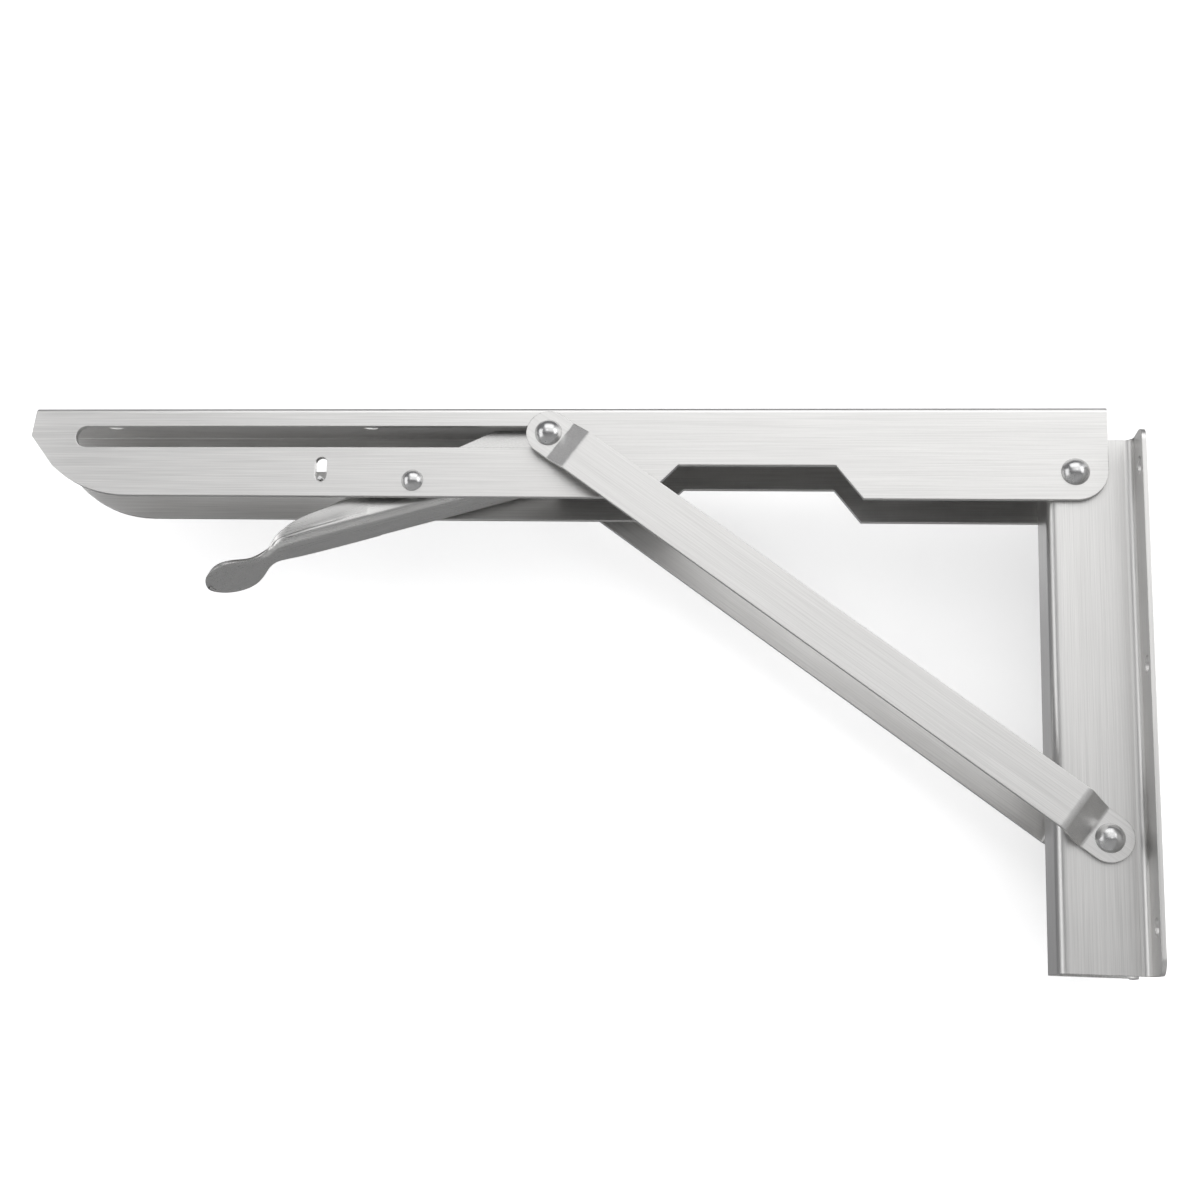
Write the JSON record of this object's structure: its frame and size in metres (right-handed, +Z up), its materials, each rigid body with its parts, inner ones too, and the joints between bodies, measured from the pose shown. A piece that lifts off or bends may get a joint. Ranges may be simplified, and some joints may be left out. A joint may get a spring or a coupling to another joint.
{
  "type": "folding shelf bracket",
  "caption": "Folding stainless bracket for a drop leaf: U arm on a wall channel, braced by joggled struts whose pin locks in the arm's slot, with a thumb release lever.",
  "frame": {"origin": "middle of the four corner screws, on the wall's face", "axes": "+X into the wall, +Z up, Y across the bracket with the spring's side at -Y"},
  "size_m": [0.305, 0.0446, 0.1472],
  "materials": {
    "wall_channel": "brushed upright, clear",
    "hinge_rivet": "polished steel",
    "hinge_sleeve": "drawn tube",
    "near_lower_rivet": "polished steel",
    "far_lower_rivet": "polished steel",
    "arm_channel": "brushed along its length, clear",
    "lever_rivet": "polished steel",
    "near_lever_spacer": "turned steel",
    "far_lever_spacer": "turned steel",
    "near_strut": "brushed along the bar",
    "far_strut": "brushed along the bar",
    "near_upper_rivet": "polished steel",
    "far_upper_rivet": "polished steel",
    "near_slot_stud": "turned steel",
    "far_slot_stud": "turned steel",
    "near_strut_washer": "turned steel",
    "far_strut_washer": "turned steel",
    "latch_crossbar": "turned steel",
    "release_lever": "satin stamped steel",
    "return_spring": "drawn wire"
  },
  "bodies": {
    "wall": {"wall_channel": "wall_channel", "hinge_rivet": "hinge_rivet", "hinge_sleeve": "hinge_sleeve", "near_lower_rivet": "near_lower_rivet", "far_lower_rivet": "far_lower_rivet"},
    "arm": {"arm_channel": "arm_channel", "lever_rivet": "lever_rivet", "near_lever_spacer": "near_lever_spacer", "far_lever_spacer": "far_lever_spacer"},
    "struts": {"near_strut": "near_strut", "far_strut": "far_strut", "near_upper_rivet": "near_upper_rivet", "far_upper_rivet": "far_upper_rivet"},
    "slot_pin": {"near_slot_stud": "near_slot_stud", "far_slot_stud": "far_slot_stud", "near_strut_washer": "near_strut_washer", "far_strut_washer": "far_strut_washer", "latch_crossbar": "latch_crossbar"},
    "lever": {"release_lever": "release_lever", "return_spring": "return_spring"}
  },
  "joints": [
    {"name": "arm_fold", "type": "hinge", "parent": "wall", "child": "arm", "pos_m": [-0.0162, 0, 0.0589], "axis": [0, -1, 0], "range_deg": [0, 83.5]},
    {"name": "strut_swing", "type": "hinge", "parent": "wall", "child": "struts", "pos_m": [-0.0103, 0, -0.0368], "axis": [0, -1, 0], "range_deg": [0, 110.94]},
    {"name": "pin_slide", "type": "slide", "parent": "arm", "child": "slot_pin", "axis": [-1, 0, 0], "range_m": [0, 0.13244]},
    {"name": "lever_press", "type": "hinge", "parent": "arm", "child": "lever", "pos_m": [-0.1938, 0, 0.0558], "axis": [0, 1, 0], "range_deg": [0, 11.5], "stiffness_Nm_per_rad": 0.15, "springref_deg": -22.92}
  ],
  "couplings": [
    {"joint": "strut_swing", "follows": "arm_fold", "ratio": 1.3285},
    {"joint": "pin_slide", "follows": "arm_fold", "m_per_rad": 0.090842}
  ]
}
